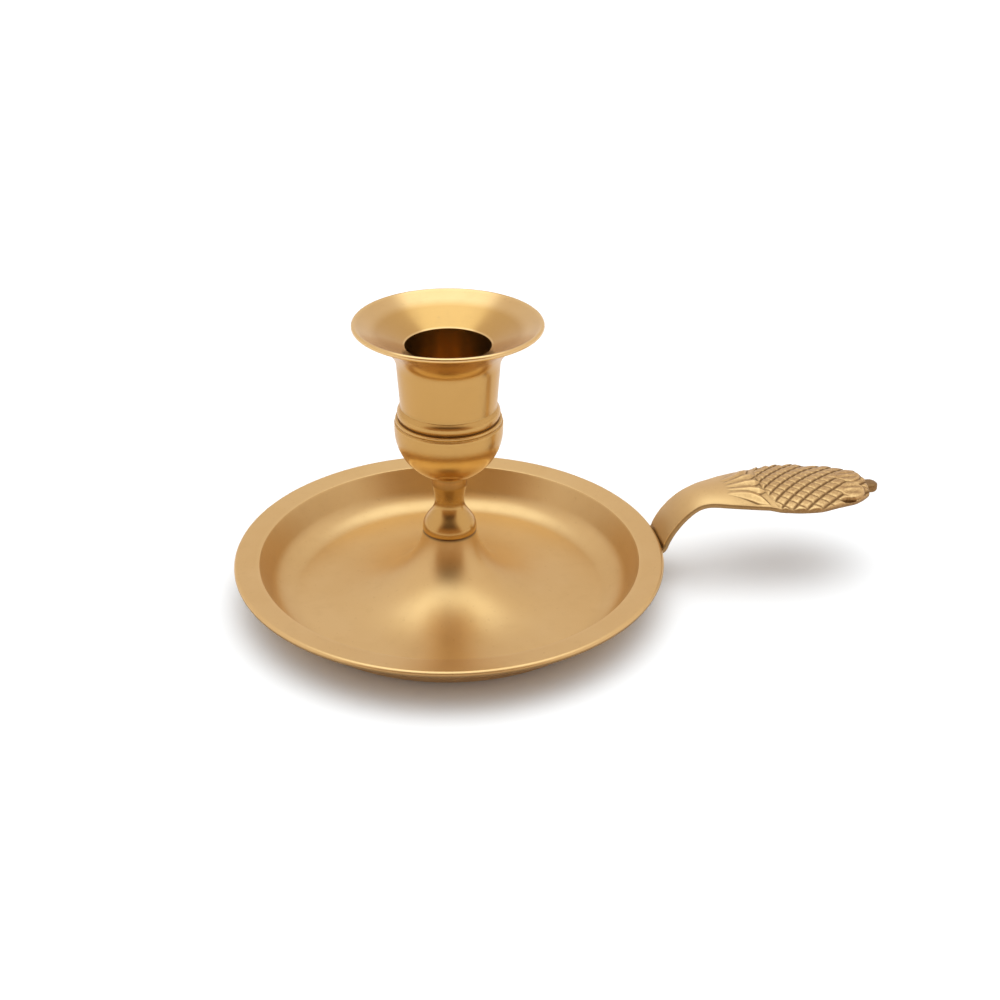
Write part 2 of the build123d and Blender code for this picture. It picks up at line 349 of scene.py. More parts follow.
def outline_rows(edges, closed, longest):
    """Rows for a turned piece, as radius, height, run, bend: the edges are joined by straight lines and
    eased at their corners, and rows are set closer where the line bends, at one row for each longest step
    or each turn step. The bend is the turn for each millimetre, above zero where the piece bulges."""
    line = np.concatenate(edges)
    keep = np.concatenate(([True], np.hypot(*np.diff(line, axis=0).T) > SAME_POINT))
    line = evened(line[keep], OUTLINE_STEP)
    if closed:
        line = softened(line[:-1], EDGE_SOFTNESS / OUTLINE_STEP, True)
        line = np.concatenate((line, line[:1]))
    else:
        line = softened(line, EDGE_SOFTNESS / OUTLINE_STEP)
        line[[0, -1], 0] = 0
    run = run_along(line)
    heading = np.unwrap(np.arctan2(*np.gradient(line, axis=0).T[::-1]))
    ahead = np.roll(line, -1, axis=0)
    turning = np.sign(np.sum(line[:, 0] * ahead[:, 1] - ahead[:, 0] * line[:, 1]))
    bend = np.gradient(heading, run) * turning
    density = np.diff(run) * (1 / longest + np.abs(bend[1:]) / TURN_STEP)
    count = np.concatenate(([0.0], np.cumsum(density)))
    at = np.interp(np.linspace(0, count[-1], int(np.ceil(count[-1])) + 1), count, run)
    broad = softened(bend[:, None], BEND_SOFTNESS / OUTLINE_STEP, closed)[:, 0]
    rows = read_off(at, run, np.column_stack((line, run, broad)))
    return rows[:-1] if closed else rows


# Marks

def rise_from(start, values, length):
    """0 up to start, then an even rise to 1 over a length."""
    return np.clip((values - start) / length, 0, 1)


def fall_to(end, values, length):
    """1 far below end, then an even fall over a length to 0 at it."""
    return np.clip((end - values) / length, 0, 1)


def band(values, start, rise, end, fall):
    """1 between start and end and 0 outside them, with an even rise and fall within."""
    return rise_from(start, values, rise) * fall_to(end, values, fall)


def bell(values, middle, width):
    """A bell curve: 1 at its middle, and about a third at one width from it."""
    return np.exp(-((values - middle) / width) ** 2)


def strongest(*marks):
    """The strongest of several marks at each point, kept from 0 to 1."""
    return np.clip(reduce(np.maximum, marks), 0, 1)


def squarish(wave, power):
    """A sine or cosine whose size is raised to a power, its sign kept: under 1 it makes a circle squarer."""
    return np.sign(wave) * np.abs(wave) ** power


# Surfaces

def grid_faces(rows, columns, wrap_rows):
    """Four-sided faces between neighbouring points of a grid whose columns go round and meet."""
    row = np.arange(rows if wrap_rows else rows - 1)[:, None]
    column = np.arange(columns)[None, :]
    after, beside = (row + 1) % rows, (column + 1) % columns
    faces = np.stack([row * columns + column, row * columns + beside, after * columns + beside,
                      after * columns + column], axis=-1)
    return faces.reshape(-1, 4)


def fan_faces(ring, pole, flip):
    """Triangles from a ring of points to one point that closes it."""
    beside = np.roll(ring, -1)
    faces = np.stack([beside, ring, np.full_like(ring, pole)], axis=-1)
    return faces[:, ::-1] if flip else faces


def capped(points, **notes):
    """A surface from sections, as rows of a grid that goes round, closed by a point in the middle of its
    first and of its last section. Notes are values for each point."""
    rows, columns = points.shape[:2]

    def with_poles(values):
        grid = values.reshape(rows, columns, -1)
        return np.concatenate([grid.reshape(rows * columns, -1), grid[[0, -1]].mean(axis=1)])

    last = np.arange((rows - 1) * columns, rows * columns)
    faces = [grid_faces(rows, columns, False), fan_faces(np.arange(columns), rows * columns, False),
             fan_faces(last, rows * columns + 1, True)]
    return with_poles(points), faces, {key: with_poles(value) for key, value in notes.items()}


def joined(*surfaces):
    """Several surfaces as one, their points counted on."""
    points, faces, notes, first = [], [], {}, 0
    for more_points, more_faces, more_notes in surfaces:
        points.append(more_points)
        faces += [face + first for face in more_faces]
        for key, value in more_notes.items():
            notes.setdefault(key, []).append(value)
        first += len(more_points)
    return np.concatenate(points), faces, {key: np.concatenate(value) for key, value in notes.items()}


def volume(points, faces):
    """Six times the room that the faces enclose, below zero where they point inwards."""
    total = 0.0
    for group in faces:
        first, *others = points[group].swapaxes(0, 1)
        for second, third in zip(others, others[1:]):
            total += np.sum(first * np.cross(second, third))
    return total


def mesh_piece(name, surface):
    """A new object at the origin from a surface in millimetres, its notes kept as point attributes."""
    points, faces, notes = surface
    if volume(points, faces) < 0:
        faces = [group[:, ::-1] for group in faces]
    mesh = bpy.data.meshes.new(name)
    mesh.from_pydata((points * MM).tolist(), [], [face for group in faces for face in group.tolist()])
    for key, value in notes.items():
        kind, field = ("FLOAT_VECTOR", "vector") if value.shape[-1] == 3 else ("FLOAT", "value")
        layer = mesh.attributes.new(key, kind, "POINT")
        layer.data.foreach_set(field, np.ascontiguousarray(value, np.float32).ravel())
    if mesh.validate():
        raise RuntimeError(f"the surface of {name} has faulty faces")
    mesh.shade_smooth()
    piece = bpy.data.objects.new(name, mesh)
    bpy.context.scene.collection.objects.link(piece)
    return piece


def turned_surface(rows, segments, closed, recess, handled=0.0, amber=None, wear_share=1.0):
    """Outline rows carried round Z: each row's radius times the cosine and sine of even angles. An open
    outline starts and ends on the axis. The first part of brush runs with the outline, the others go
    slowly round the piece. Wear grows with the bend and where the piece is handled, times its share."""
    angle = np.linspace(0, 2 * np.pi, segments, endpoint=False)[None, :]
    radius, height, run, bend = (values[:, None] for values in rows.T)
    forward, sideways = np.cos(angle), np.sin(angle)
    points = np.stack(np.broadcast_arrays(radius * forward, radius * sideways, height), axis=-1)
    brush = np.stack(np.broadcast_arrays(run, BRUSH_TURN * forward, BRUSH_TURN * sideways), axis=-1)
    marks = {"recess": recess, "wear": strongest(bend[:, 0] * WORN_BEND - WORN_FROM, handled) * wear_share}
    if amber is not None:
        marks["amber"] = amber
    notes = {"brush": brush}
    for key, values in marks.items():
        notes[key] = np.repeat(values[:, None], segments, axis=1)
    if not closed:
        return capped(points[1:-1], **{key: value[1:-1] for key, value in notes.items()})
    flat = {key: value.reshape(len(rows) * segments, -1) for key, value in notes.items()}
    return points.reshape(-1, 3), [grid_faces(len(rows), segments, True)], flat


def drip_pan_surface(pan):
    """The pan's closed outline, drawn as in the frame, carried round Z. Patina lies in hollows and round the
    cup's foot. A thin painted shade lies on the well's wall, and a painted shade on the rim's edge below its
    upper part, where nothing wears."""
    radius, high, band_width = (to_mm(value) for value in (pan.radius, pan.rim_height, pan.rim_band))
    seat = to_mm(pan.seat_height)
    slope = np.radians(WELL_SLOPE)
    crease = (radius - band_width, high - RIM_FALL)
    corner_x = crease[0] - (crease[1] - PAN_WALL) / np.tan(slope) - WELL_CORNER * np.tan(slope / 2)
    corner = (corner_x, PAN_WALL + WELL_CORNER)
    outer = WELL_CORNER + PAN_WALL
    outer_end = (corner_x + outer * np.sin(slope), corner[1] - outer * np.cos(slope))
    under = high - RIM_EDGE
    wall_top = (outer_end[0] + (under - outer_end[1]) / np.tan(slope), under)
    web_under = seat - SEAT_WEB

    def trumpet(top_radius, top, foot):
        waist, drop, spread = TRUMPET_SHARES
        wide, tall = TRUMPET_FOOT - top_radius, top - foot
        return bezier((top_radius, top), (top_radius + waist * wide, top - drop * tall),
                      (top_radius + spread * wide, foot), (TRUMPET_FOOT, foot))

    rows = outline_rows([
        [(SEAT_HOLE, web_under), (SEAT_HOLE, seat)],
        trumpet(SEAT_RADIUS, seat, PAN_WALL),
        arc(corner, WELL_CORNER, -90, WELL_SLOPE),
        [crease],
        arc((radius - RIM_EDGE / 2, high - RIM_EDGE / 2), RIM_EDGE / 2, 90, -180, 40),
        [wall_top],
        arc(corner, outer, WELL_SLOPE - 90, -WELL_SLOPE),
        trumpet(TRUMPET_HOLLOW, web_under, 0)[::-1],
        [(SEAT_HOLE, web_under)],
    ], True, PAN_STEP)
    out, height, _, bend = rows.T
    seam = bell(height, seat, PAN_SEAM) * (out > SEAT_RADIUS - 0.6)
    # A thin painted shade on the well's upper wall
    wall = rise_from(PAN_WALL + WALL_FROM, height, WALL_RISE) * (out > corner_x) * (out < crease[0])
    # Painted shade on the rim's edge below its upper part, where nothing wears
    under_rim = fall_to(high - RIM_DARK_FROM * RIM_EDGE, height, RIM_DARK_FALL) * (out > wall_top[0])
    recess = strongest(seam, -HOLLOW_PATINA * bend, WALL_PAINTED_SHADE * wall, RIM_PAINTED_SHADE * under_rim)
    return turned_surface(rows, pan.segments, True, recess, wear_share=1 - under_rim)


def candle_cup_surface(pan, cup):
    """The cup's outline from the tapped hole's end round to the bore's floor, carried round Z. Its bowl,
    lip and bore are bright from handling. Patina lies in hollows and at the foot, the neck is darker, and a
    thin painted shade, for a dimmer reflection, lies on the rest of the outside, which is also the amber
    part."""
    foot, bore, depth = (to_mm(value) for value in (pan.seat_height, cup.bore_radius, cup.bore_depth))
    top = foot + to_mm(cup.height)
    mouth = (bore, top - MOUTH_DROP)
    bore_floor = mouth[1] - depth
    lip_x = to_mm(cup.lip_radius) - LIP_EDGE / 2
    lip_under = (lip_x, top - LIP_EDGE)
    throat = (BODY_TOP, top - THROAT_DROP)
    lip_run = LIP_PULL * (lip_x - BODY_TOP)
    fall = throat[1] - lip_under[1]
    bead_low = foot + BEAD_TOP - BEAD_WIDTH
    bead_start = (BODY_FOOT, foot + BEAD_TOP)
    groove = (GROOVE_RADIUS, bead_low)
    ring_low = bead_low - RING_WIDTH
    line_floor = (RING_RADIUS - ENGRAVED_LINE, ring_low)
    bowl_top = (BOWL_RADIUS, ring_low - ENGRAVED_LINE)
    middle = foot + BOWL_MIDDLE
    turn = np.degrees(np.arccos(COLLAR_RADIUS / BOWL_RADIUS))
    collar, neck = (COLLAR_RADIUS, foot + COLLAR_FOOT), (NECK_RADIUS, foot + NECK_HEIGHT)
    hollow_drop = (COLLAR_FOOT - NECK_HEIGHT) / 3
    foot_top = (FOOT_RADIUS, foot + FOOT_RIM)
    bell_drop = BELL_PULL * (NECK_HEIGHT - FOOT_RIM)
    ring_bulge = RING_RADIUS - (line_floor[0] + groove[0]) / 2
    rows = outline_rows([
        [(0, foot + TAPPED_DEPTH), (TAPPED_RADIUS, foot + TAPPED_DEPTH), (TAPPED_RADIUS, foot),
         (FOOT_RADIUS - FOOT_ROUND, foot), (FOOT_RADIUS, foot + FOOT_ROUND)],
        bezier(foot_top, (FOOT_RADIUS, foot_top[1] + bell_drop), (NECK_RADIUS, neck[1] - bell_drop), neck),
        bezier(neck, (NECK_RADIUS, neck[1] + hollow_drop),
               ((COLLAR_RADIUS + NECK_RADIUS) / 2, collar[1] - hollow_drop), collar),
        arc((0, middle), BOWL_RADIUS, -turn, turn),
        [bowl_top],
        bow(line_floor, groove, ring_bulge),
        bow(groove, bead_start, BEAD_BULGE),
        bezier(throat, (BODY_TOP, throat[1] - THROAT_PULL * fall),
               (lip_x - lip_run, lip_under[1] - lip_run * MOUTH_DROP / (lip_x - bore)), lip_under),
        arc((lip_x, top - LIP_EDGE / 2), LIP_EDGE / 2, -90, 180, 40),
        [mouth, (bore, bore_floor), (0, bore_floor)],
    ], False, CUP_STEP)
    radius, height, _, bend = rows.T
    seam = bell(height, foot, CUP_SEAM) * (radius > FOOT_RADIUS - 0.8)
    in_bore = (height < mouth[1]) & (height > bore_floor - 0.3) & (radius < bore + 0.1)
    inside = np.where(height > bore_floor - 1, bore + 0.3, CUP_INSIDE)
    outside = fall_to(lip_under[1] - 0.5, height, 1) * (radius > inside)
    bowl = band(height - foot, *BOWL_BAND) * outside
    neck_part = band(height - foot, *NECK_BAND) * outside
    handled = strongest(bowl, rise_from(lip_x - LIP_BAND, radius, LIP_BAND), BORE_WEAR * in_bore)
    # A thin painted shade on the outside where it is not handled, for a dimmer reflection
    body_shade = CUP_PAINTED_SHADE * outside * (1 - handled)
    recess = strongest(seam, -HOLLOW_PATINA * bend, body_shade, NECK_DARKENING * neck_part)
    return turned_surface(rows, cup.segments, False, recess, HANDLED_WEAR * handled, CUP_AMBER * outside)


# Handle

def lattice(x, y, handle):
    """Where a place lies in the lattice of scales: two counts that grow along the leaf's two diagonals.
    The count along the leaf adds up one over the scale length, which grows evenly towards the tip."""
    first, last = to_mm(handle.scale_length), to_mm(handle.scale_length_end)
    wide = to_mm(handle.scale_width)
    growth = (last - first) / (LEAF_END - SCALES_FROM)
    along = np.log1p(growth * np.maximum(x - SCALES_FROM, LATTICE_LOWEST) / first) / growth
    return along + y / wide, along - y / wide


def scaled_part(x, y):
    """1 where the leaf has scales and 0 behind them, where the sepals lie."""
    start = SCALES_FROM + SCALES_FROM_SIDE * (y / SCALES_SIDE) ** 2
    return rise_from(start - SCALES_BLEND / 2, x, SCALES_BLEND)


def scale_relief(x, y, handle):
    """Overlapping scales: in each diamond of the lattice the height grows from its rear corner to its
    point, and swells to a flat middle between the grooves."""
    left, right = (count - np.floor(count) for count in lattice(x, y, handle))
    swell = (1 - (2 * left - 1) ** 4) * (1 - (2 * right - 1) ** 4)
    scale = SCALE_RISE * (left + right) / 2 + SCALE_SWELL * swell ** SCALE_FLATNESS - SCALE_SINK
    return to_mm(handle.scale_lift) * scale * scaled_part(x, y)


def groove_patina_and_shadow(x, y, handle):
    """How deep in a groove between scales a place lies, from 0 to 1: patina together with a painted shadow
    of the scales' steps. The grooves of one diagonal get the darker painted shadow."""
    grooves = []
    for count, (width, strength) in zip(lattice(x, y, handle), GROOVE_PATINA_AND_SHADOW):
        grooves.append(strength * bell(count, np.round(count), width))
    return strongest(*grooves) * scaled_part(x, y)


def petal_relief(x, y):
    """The two large scales at the tip: each fills a pointed oval, rises towards the tip and is fluted
    along by a cosine across it, and its edge drops steeply."""
    height = np.full_like(x * y, NO_PETAL)
    base, slope = PETAL_SLOPE
    for middle_x, middle_y, half_length, half_width in PETALS:
        off_x, off_y = (x - middle_x) / half_length, (y - middle_y) / half_width
        out = (np.abs(off_x) ** PETAL_POINT + np.abs(off_y) ** PETAL_POINT) ** (1 / PETAL_POINT)
        flutes = PETAL_FLUTES * np.cos(3 * np.pi * off_y) * np.clip(1 - out, 0, 1)
        blade = PETAL_LIFT * (base + slope * off_x) + flutes
        inside = blade * np.clip((1 - out) * PETAL_SIDE, 0, 1) ** 0.5
        height = np.maximum(height, np.where(out < 1, inside, NO_PETAL))
    return height


def pocket_relief(x, y):
    """How far the leaf is sunk under the near large scale, from 0 to 1: a smooth oval dip."""
    middle_x, middle_y, half_length, half_width, _ = POCKET
    out = ((x - middle_x) / half_length) ** 2 + ((y - middle_y) / half_width) ** 2
    return np.clip(POCKET_SIDE * (1 - out), 0, 1)


def sepal_relief(x, y, handle):
    """The fan of sepals: each is highest on its keel, falls off in hollow flanks to a low rim, and is
    pointed at both ends; where two overlap the higher one shows."""
    height = np.zeros_like(x * y)
    above_rim = to_mm(handle.sepal_height) - SEPAL_RIM
    speed, power = SEPAL_RISE
    for start_y, tip_y, step, half_width, curl in SEPAL_FAN:
        share = rise_from(SEPAL_START + step, x, SEPAL_LENGTH)
        widest = np.minimum(share / SEPAL_WIDEST, (1 - share) / (1 - SEPAL_WIDEST))
        reach = np.maximum(half_width * np.sin(np.pi / 2 * widest), 1e-4)
        off = np.abs(y - start_y - share ** curl * (tip_y - start_y)) / reach
        rise = np.clip(share * speed, 0, 1) ** power * np.clip((1 - share) * SEPAL_TIP_FALL, 0, 1)
        blade = rise * (SEPAL_RIM + above_rim * np.clip(1 - off, 0, 1) ** SEPAL_HOLLOW)
        height = np.maximum(height, blade * np.clip((1 - off) * reach / SEPAL_SIDE, 0, 1))
    return height


def strap_line(handle, pan):
    """The strap's middle line as (reach, height), a table of its run, sideways place, half-width, edge
    and crown, and the runs at the ends of its parts: tongue, hook round the rim, rise, arm with leaf."""
    off = RIM_GAP + ROOT_CROWN + STRAP_EDGE / 2
    radius = to_mm(pan.radius)
    low = to_mm(pan.rim_height) - RIM_EDGE - off
    hook_x = radius + off - HOOK_RADIUS * np.sin(np.radians(HOOK_TURN))
    tongue = np.array([(radius - ROOT_LAP, low), (hook_x, low)])
    hook = arc((hook_x, low + HOOK_RADIUS), HOOK_RADIUS, -90, HOOK_TURN)
    third = (LEAF_END - ARM_START) / 3
    leaf_points = [(ARM_START, ARM_HEIGHT), (ARM_START + third, ARM_HEIGHT + ARM_BULGE),
                   (LEAF_END - third, LEAF_END_HEIGHT - LEAF_HOLLOW), (LEAF_END, LEAF_END_HEIGHT)]
    way = np.radians(HOOK_TURN)
    arm_way = np.array([third, ARM_BULGE]) / np.hypot(third, ARM_BULGE)
    rise = bezier(hook[-1], hook[-1] + RISE_PULL * np.array([np.cos(way), np.sin(way)]),
                  leaf_points[0] - ARM_PULL * arm_way, leaf_points[0])
    leaf = bezier(*leaf_points)
    ends = np.cumsum([run_along(part)[-1] for part in (tongue, hook, rise, leaf)])
    wide = to_mm(handle.leaf_half_width)
    table = [(run, ROOT_SHIFT, ROOT_HALF, STRAP_EDGE, ROOT_CROWN) for run in (0, ends[0], ends[1])]
    for share, shift, width, crown in RISE_SHARES:
        table.append((ends[1] + share * (ends[2] - ends[1]), ROOT_SHIFT * (1 - shift),
                      ROOT_HALF + width * (STRAP_HALF - ROOT_HALF), STRAP_EDGE,
                      ROOT_CROWN + crown * (STRAP_CROWN - ROOT_CROWN)))
    for share, width, crown in LEAF_SHARES:
        table.append((ends[2] + share * (ends[3] - ends[2]), 0, width * wide,
                      STRAP_EDGE + share * (LEAF_EDGE - STRAP_EDGE), crown * LEAF_CROWN))
    return np.concatenate([tongue, hook[1:], rise[1:], leaf[1:]]), np.array(table), ends


def strap_sections(handle, pan):
    """Where the sections stand and what they measure, as columns with a row for each: run, reach, height
    and way of the middle line, then shift, half, edge and crown, eased along the line. on_leaf and nose
    grow from 0 to 1 at the first scales and at the leaf's end."""
    line, table, ends = strap_line(handle, pan)
    arm, leaf = np.linspace(0, ends[2], STRAP_ROWS), np.linspace(ends[2], ends[3], handle.leaf_rows)
    at = np.concatenate([arm[:-1], leaf])
    fine = np.linspace(0, ends[3], LINE_SAMPLES)

    def eased(runs, values, softness):
        return softened(read_off(fine, runs, values), softness / fine[1])

    def columns(runs, values):
        return read_off(at, runs, values).T[:, :, None]

    run = run_along(line)
    way = np.gradient(eased(run, line, WAY_SOFTNESS), axis=0)
    way_x, way_z = columns(fine, way / np.hypot(*way.T)[:, None])
    reach, height = columns(run, line)
    shift, half, edge, crown = columns(fine, eased(table[:, 0], table[:, 1:], SECTION_SOFTNESS))
    nose = rise_from(ends[3] - NOSE_LENGTH, at[:, None], NOSE_LENGTH)
    return SimpleNamespace(run=at[:, None], reach=reach, height=height, way_x=way_x, way_z=way_z, shift=shift,
                           half=half, edge=edge * (1 - NOSE_THINNING * nose ** 2), crown=crown, nose=nose,
                           on_leaf=rise_from(SCALES_FROM, reach, LEAF_BLEND))


def side_reach(strap, handle, far):
    """The half-width of each section: the leaf's far edge has a tooth for each scale, its near edge is
    even, and both draw in along an ellipse at the nose."""
    count = lattice(strap.reach, strap.half, handle)[0]
    part = count - np.floor(count)
    tooth = np.where(part < TOOTH_FALL, 1 - part / TOOTH_FALL, (part - TOOTH_FALL) / (1 - TOOTH_FALL))
    more = TOOTH_HEIGHT * (tooth - TOOTH_MEAN) if far else NEAR_WIDENING
    return (strap.half + strap.on_leaf * more) * np.sqrt(1 - NOSE_NARROWING * strap.nose ** 2)


def handle_brush(y, along, z):
    """The brush attribute of the handle, whose lines run along it: it changes fastest across."""
    return np.stack(np.broadcast_arrays(y, BRUSH_ALONG * along, BRUSH_UP * z), axis=-1)


def strap_surface(handle, pan):
    """The strap and leaf: a section goes round from its crowned top over a squarish round side to its flat
    underside, and is carried along the middle line, upright to it. The relief is added to the top.
    Patina lies where the top is lower than its own average and on the rise. The grooves hold patina and
    a painted shadow of the scales' steps, and painted shade lies in the pocket under the near large scale,
    on the sides and underneath."""
    strap = strap_sections(handle, pan)
    reach, on_leaf = strap.reach, strap.on_leaf
    side_round = SIDE_ROUND - LEAF_SHARPER * on_leaf
    far, near = (side_reach(strap, handle, side) - side_round for side in (True, False))

    across = np.linspace(-1, 1, handle.leaf_columns)[None, :]
    flat_width = np.where(across > 0, far, near)
    top_y = across * flat_width
    fade = np.clip((1 - np.abs(across)) * flat_width / RELIEF_SIDE, 0, 1)
    petals, pocket = petal_relief(reach, top_y), pocket_relief(reach, top_y)
    relief = np.maximum(scale_relief(reach, top_y, handle), sepal_relief(reach, top_y, handle))
    relief = np.maximum(relief, petals) * (1 - NOSE_RELIEF_LOSS * strap.nose)
    kept = np.where(relief > 0, RELIEF_LEFT + (1 - RELIEF_LEFT) * fade, fade)
    relief = relief * kept * (1 - pocket) - POCKET[-1] * pocket
    top_z = strap.edge / 2 + strap.crown * (1 - across ** 2) + relief

    angle = np.linspace(0, np.pi, SIDE_POINTS)[None, 1:-1]
    undercut = LEAF_UNDERCUT * on_leaf * (1 - np.cos(angle)) / 2
    side_out = side_round * squarish(np.sin(angle), SIDE_SQUARENESS) - undercut
    side_z = strap.edge / 2 * squarish(np.cos(angle), SIDE_SQUARENESS)
    under = np.linspace(1, -1, UNDERSIDE_POINTS)[None, :]
    under_y = under * (np.where(under > 0, far, near) - LEAF_UNDERCUT * on_leaf)
    under_z = -strap.edge / 2 * np.ones_like(under)
    y = np.concatenate([top_y, far + side_out, under_y, -(near + side_out)[:, ::-1]], axis=1)
    z = np.concatenate([top_z, side_z, under_z, side_z[:, ::-1]], axis=1)
    z = z - NEAR_DROOP * on_leaf * np.clip(-y / strap.half, 0, 1) ** 3
    points = np.stack([reach - strap.way_z * z, y + strap.shift, strap.height + strap.way_x * z], axis=-1)

    top_count = top_y.shape[1]
    low = softened(softened(top_z, SUNK_REACH).T, SUNK_REACH).T - top_z
    sunk = low / np.where(reach < SCALES_FROM, SUNK_ON_SEPALS, SUNK_ON_SCALES)
    # Patina and a painted shadow of the scales' steps in the grooves
    grooves = groove_patina_and_shadow(reach, top_y, handle) * (petals < 0)
    rise = RISE_PATINA * fall_to(RISE_END, reach, RISE_FADE)
    # Sides and underside carry painted shade
    recess = np.full_like(y, UNDERSIDE_PAINTED_SHADE)
    # The pocket under the near large scale gets painted shade
    recess[:, :top_count] = strongest(sunk, grooves, pocket, rise)
    below_top = recess[:, top_count:]
    below_top[:, [0, 1, 2, -3, -2, -1]] *= np.array(SIDE_FADE)
    wear = np.zeros_like(y)
    wear[:, :top_count] = np.clip(-low / WORN_HEIGHT, 0, 1)
    grain = strongest(scaled_part(reach, y), SEPAL_GRAIN * rise_from(SEPAL_START, reach, LEAF_BLEND))
    return capped(points, recess=recess, wear=wear, grain=grain, brush=handle_brush(y, strap.run, z))


def stub_surface():
    """The bar under the tip: a squarish round section, narrowed along a quarter circle to its round end,
    its underside ramping up into the leaf at its root. It is painted dark all over, as shade under the leaf."""
    end = to_mm(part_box("thumb_handle")[1].x)
    round_start = end - STUB_HALF
    turn = np.linspace(0, np.pi / 2 - 0.02, 24)
    bar = np.linspace(STUB_ROOT, round_start, 30)[:-1]
    reach = np.concatenate([bar, round_start + STUB_HALF * np.sin(turn)])[:, None]
    past = rise_from(round_start, reach, STUB_HALF)
    half = STUB_HALF * np.sqrt(1 - past ** 2)
    low = STUB_TOP - STUB_THICKNESS * np.clip((reach - STUB_ROOT) / STUB_RAMP, STUB_RAMP_LEAST, 1)
    middle = (STUB_TOP + low) / 2
    thick = np.minimum(STUB_THICKNESS * (1 - STUB_THINNING * past ** 3), STUB_TOP - low)
    angle = np.linspace(0, 2 * np.pi, 48, endpoint=False)[None, :]
    y = half * squarish(np.cos(angle), STUB_SQUARENESS)
    z = middle + thick / 2 * squarish(np.sin(angle), STUB_SQUARENESS)
    points = np.stack(np.broadcast_arrays(reach, y, z), axis=-1)
    # Painted shade over the whole stub
    stub_shade = np.full_like(y, STUB_PAINTED_SHADE)
    return capped(points, recess=stub_shade, wear=np.zeros_like(y), grain=np.ones_like(y),
                  brush=handle_brush(y, reach, z))


# Finishes

def sum_of(operation, swapped=False):
    """A method that adds a Math node, or a Vector Math node where a vector takes part."""
    def method(self, other):
        parts = (other, self) if swapped else (self, other)
        vector = any(isinstance(part, Signal) and part.socket.type == "VECTOR" for part in parts)
        kind = "ShaderNodeVectorMath" if vector else "ShaderNodeMath"
        return self.nodes.add(kind, {"operation": operation}, dict(enumerate(parts)))
    return method


class Signal:
    """One output socket, on which sums can be written."""

    def __init__(self, nodes, socket):
        self.nodes, self.socket = nodes, socket

    __add__ = __radd__ = sum_of("ADD")
    __mul__ = __rmul__ = sum_of("MULTIPLY")
    __sub__ = sum_of("SUBTRACT")
    __rsub__ = sum_of("SUBTRACT", swapped=True)
    __pow__ = sum_of("POWER")

    def stepped(self, low, high):
        """0 below low, 1 above high, and a smooth rise between them."""
        return self.nodes.add("ShaderNodeMapRange", {"interpolation_type": "SMOOTHSTEP"},
                              {"Value": self, "From Min": low, "From Max": high})


class Nodes:
    """The node tree of a material or world, emptied first."""

    def __init__(self, owner):
        owner.use_nodes = True
        self.tree = owner.node_tree
        self.tree.nodes.clear()

    def add(self, kind, settings=None, sockets=None, output=0):
        """A node of a kind with its settings, then the values or links of its sockets."""
        node = self.tree.nodes.new(kind)
        for key, value in (settings or {}).items():
            setattr(node, key, value)
        for key, value in (sockets or {}).items():
            if isinstance(value, Signal):
                self.tree.links.new(value.socket, node.inputs[key])
            else:
                node.inputs[key].default_value = value
        return Signal(self, node.outputs[output]) if len(node.outputs) else None

    def noise(self, place, scale, detail, rough):
        """Noise from 0 to 1 about places, its features one over scale of a unit wide."""
        sockets = {"Vector": place, "Scale": scale, "Detail": detail, "Roughness": rough}
        return self.add("ShaderNodeTexNoise", None, sockets)

    def mixed(self, first, second, share):
        """The first colour with a share of the second mixed in."""
        return self.add("ShaderNodeMix", {"data_type": "RGBA"}, {0: share, 6: first, 7: second}, 2)

    def attribute(self, name, output="Fac"):
        """A value that the surface holds for each of its points."""
        return self.add("ShaderNodeAttribute", {"attribute_name": name}, output=output)

    def ray(self, kind):
        """1 for rays of a kind and 0 for all others."""
        return self.add("ShaderNodeLightPath", output=f"Is {kind} Ray")


def opaque(colour):
    return (*colour, 1.0)


